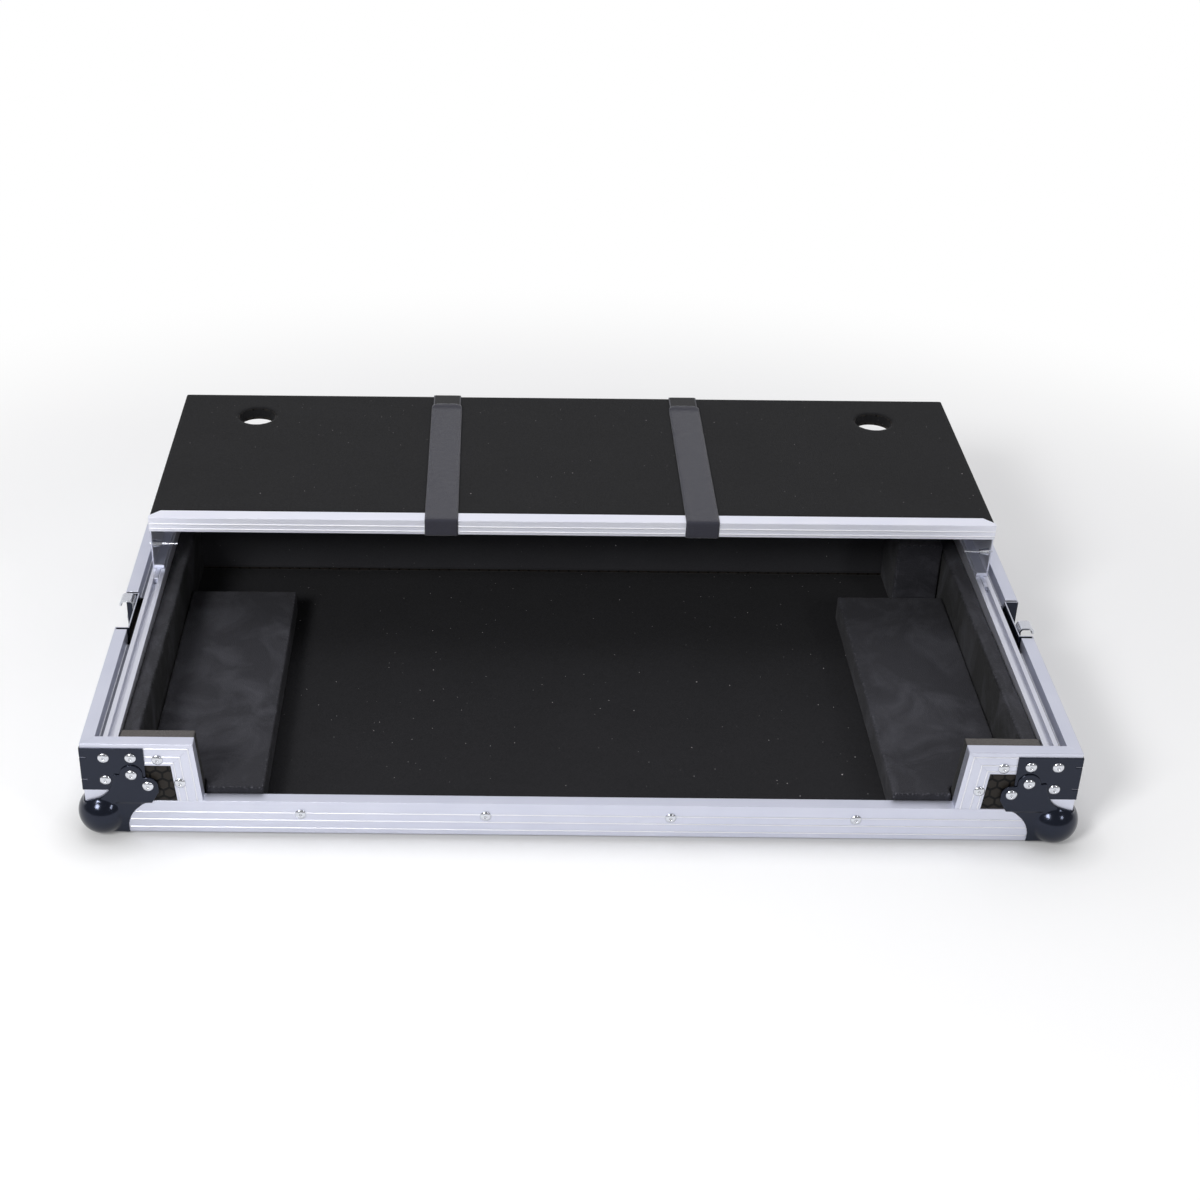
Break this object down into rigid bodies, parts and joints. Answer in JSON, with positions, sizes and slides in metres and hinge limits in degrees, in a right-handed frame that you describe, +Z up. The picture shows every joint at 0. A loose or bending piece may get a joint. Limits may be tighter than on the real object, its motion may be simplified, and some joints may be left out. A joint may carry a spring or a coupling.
{
  "type": "dj controller flight case base",
  "caption": "Shallow flight case base with a cut-out front, foam-lined bay, twist latches and a laptop shelf that slides on side rails.",
  "frame": {"origin": "on the floor under the middle of the whole object, shelf in its rear position", "axes": "+X to the right seen from the user, -Y towards the user at the cut-out front, +Z up"},
  "size_m": [0.86, 0.5755, 0.1566],
  "materials": {
    "laminate": "plywood faced with a charcoal plastic laminate with a hexagon pattern",
    "plywood": "plain plywood",
    "aluminium": "satin extrusion",
    "black_steel": "glossy black coating on pressed steel",
    "bright_steel": "bright zinc or chrome plating",
    "foam": "cut charcoal foam",
    "felt": "thin black felt",
    "carpet": "thin black carpet",
    "webbing": "slate loop strap",
    "hook_tape": "black hook tape"
  },
  "bodies": {
    "case": {"floor_panel": "plywood", "front_panel": "laminate", "rear_panel": "laminate", "left_panel": "laminate", "right_panel": "laminate", "front_edge": "aluminium", "rear_edge": "aluminium", "left_edge": "aluminium", "right_edge": "aluminium", "left_post_top_trim": "aluminium", "right_post_top_trim": "aluminium", "left_post_side_trim": "aluminium", "right_post_side_trim": "aluminium", "left_rim_front": "aluminium", "left_rim_rear": "aluminium", "right_rim_front": "aluminium", "right_rim_rear": "aluminium", "rear_rim": "aluminium", "corner_edges": "aluminium", "battens": "plywood", "left_inner_wall": "plywood", "right_inner_wall": "plywood", "left_rail": "aluminium", "right_rail": "aluminium", "floor_felt": "felt", "rear_felt": "felt", "left_side_foam": "foam", "right_side_foam": "foam", "left_post_foam": "foam", "right_post_foam": "foam", "left_foam_block": "foam", "right_foam_block": "foam", "corner_pad": "foam", "corner_braces": "black_steel", "front_left_ball_corner": "black_steel", "front_right_ball_corner": "black_steel", "rear_left_ball_corner": "black_steel", "rear_right_ball_corner": "black_steel", "edge_rivets": "bright_steel", "corner_rivets": "bright_steel", "left_latch_dish": "black_steel", "right_latch_dish": "black_steel"},
    "shelf": {"shelf_board": "plywood", "shelf_carpet": "carpet", "shelf_nosing": "aluminium", "left_bracket": "aluminium", "right_bracket": "aluminium", "runners": "aluminium", "shelf_screws": "bright_steel", "pin_sleeves": "bright_steel", "straps": "webbing", "hook_tapes": "hook_tape"},
    "left_cam": {"left_latch_cam": "bright_steel"},
    "left_wing": {"left_latch_wing": "bright_steel"},
    "left_hook": {"left_latch_hook": "bright_steel"},
    "left_pin": {"left_lock_pin": "bright_steel"},
    "right_cam": {"right_latch_cam": "bright_steel"},
    "right_wing": {"right_latch_wing": "bright_steel"},
    "right_hook": {"right_latch_hook": "bright_steel"},
    "right_pin": {"right_lock_pin": "bright_steel"}
  },
  "joints": [
    {"name": "shelf_slide", "type": "slide", "parent": "case", "child": "shelf", "axis": [0, -1, 0], "range_m": [0, 0.255]},
    {"name": "left_latch_turn", "type": "hinge", "parent": "case", "child": "left_cam", "pos_m": [-0.414, -0.06525, 0.067], "axis": [-1, 0, 0], "range_deg": [0, 180]},
    {"name": "left_wing_flip", "type": "hinge", "parent": "left_cam", "child": "left_wing", "pos_m": [-0.4203, -0.06525, 0.067], "axis": [0, 1, 0], "range_deg": [0, 90]},
    {"name": "left_hook_slide", "type": "slide", "parent": "case", "child": "left_hook", "axis": [0, 0, 1], "range_m": [0, 0.014]},
    {"name": "left_pin_pull", "type": "slide", "parent": "shelf", "child": "left_pin", "axis": [1, 0, 0], "range_m": [0, 0.006], "stiffness_N_per_m": 300},
    {"name": "right_latch_turn", "type": "hinge", "parent": "case", "child": "right_cam", "pos_m": [0.414, -0.06525, 0.067], "axis": [1, 0, 0], "range_deg": [0, 180]},
    {"name": "right_wing_flip", "type": "hinge", "parent": "right_cam", "child": "right_wing", "pos_m": [0.4203, -0.06525, 0.067], "axis": [0, -1, 0], "range_deg": [0, 90]},
    {"name": "right_hook_slide", "type": "slide", "parent": "case", "child": "right_hook", "axis": [0, 0, 1], "range_m": [0, 0.014]},
    {"name": "right_pin_pull", "type": "slide", "parent": "shelf", "child": "right_pin", "axis": [-1, 0, 0], "range_m": [0, 0.006], "stiffness_N_per_m": 300}
  ],
  "couplings": [
    {"joint": "left_hook_slide", "follows": "left_latch_turn", "m_per_rad": 0.004456},
    {"joint": "right_hook_slide", "follows": "right_latch_turn", "m_per_rad": 0.004456}
  ]
}
